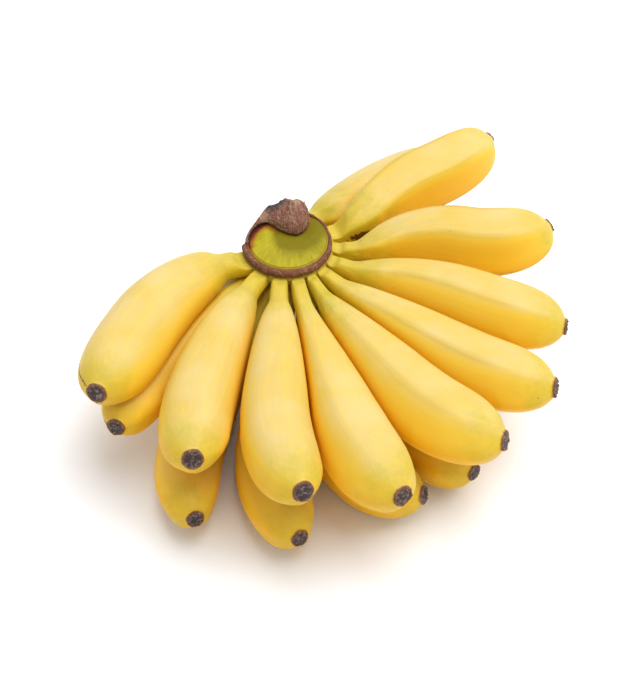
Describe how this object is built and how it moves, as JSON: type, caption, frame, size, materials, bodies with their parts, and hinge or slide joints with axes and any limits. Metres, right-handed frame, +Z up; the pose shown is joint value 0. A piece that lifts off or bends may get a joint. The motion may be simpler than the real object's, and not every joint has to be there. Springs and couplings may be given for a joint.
{
  "type": "hand of sugar bananas",
  "caption": "Hand of short, plump ripe bananas fanned in two tiers on a cut green crown with a corky rim, a dry stalk stub and dark blossom ends; lies on its lower tier.",
  "frame": {"origin": "on the surface that the hand lies on, under the middle of its box; the crown's axis stands at x -19.5 mm, y +41 mm", "axes": "+Z up, away from the surface; the middle fingers of the fan point towards -Y and +X, and the crown is at +Y and -X"},
  "size_m": [0.2173, 0.235, 0.0767],
  "materials": {
    "peel": "satin",
    "blossom_end": "matte",
    "crown_flesh": "satin",
    "rim_cork": "matte",
    "stub_husk": "matte"
  },
  "bodies": {
    "root": {"finger_upper_1": "peel", "finger_upper_2": "peel", "finger_upper_3": "peel", "finger_upper_4": "peel", "finger_upper_5": "peel", "finger_upper_6": "peel", "finger_upper_7": "peel", "finger_upper_8": "peel", "finger_upper_9": "peel", "finger_lower_1": "peel", "finger_lower_2": "peel", "finger_lower_3": "peel", "finger_lower_4": "peel", "finger_lower_5": "peel", "finger_lower_6": "peel", "finger_lower_7": "peel", "finger_lower_8": "peel", "blossom_end_upper_1": "blossom_end", "blossom_end_upper_2": "blossom_end", "blossom_end_upper_3": "blossom_end", "blossom_end_upper_4": "blossom_end", "blossom_end_upper_5": "blossom_end", "blossom_end_upper_6": "blossom_end", "blossom_end_upper_7": "blossom_end", "blossom_end_upper_8": "blossom_end", "blossom_end_upper_9": "blossom_end", "blossom_end_lower_1": "blossom_end", "blossom_end_lower_2": "blossom_end", "blossom_end_lower_3": "blossom_end", "blossom_end_lower_4": "blossom_end", "blossom_end_lower_5": "blossom_end", "blossom_end_lower_6": "blossom_end", "blossom_end_lower_7": "blossom_end", "blossom_end_lower_8": "blossom_end", "crown": "crown_flesh", "crown_rim": "rim_cork", "stalk_stub": "stub_husk"}
  },
  "joints": []
}
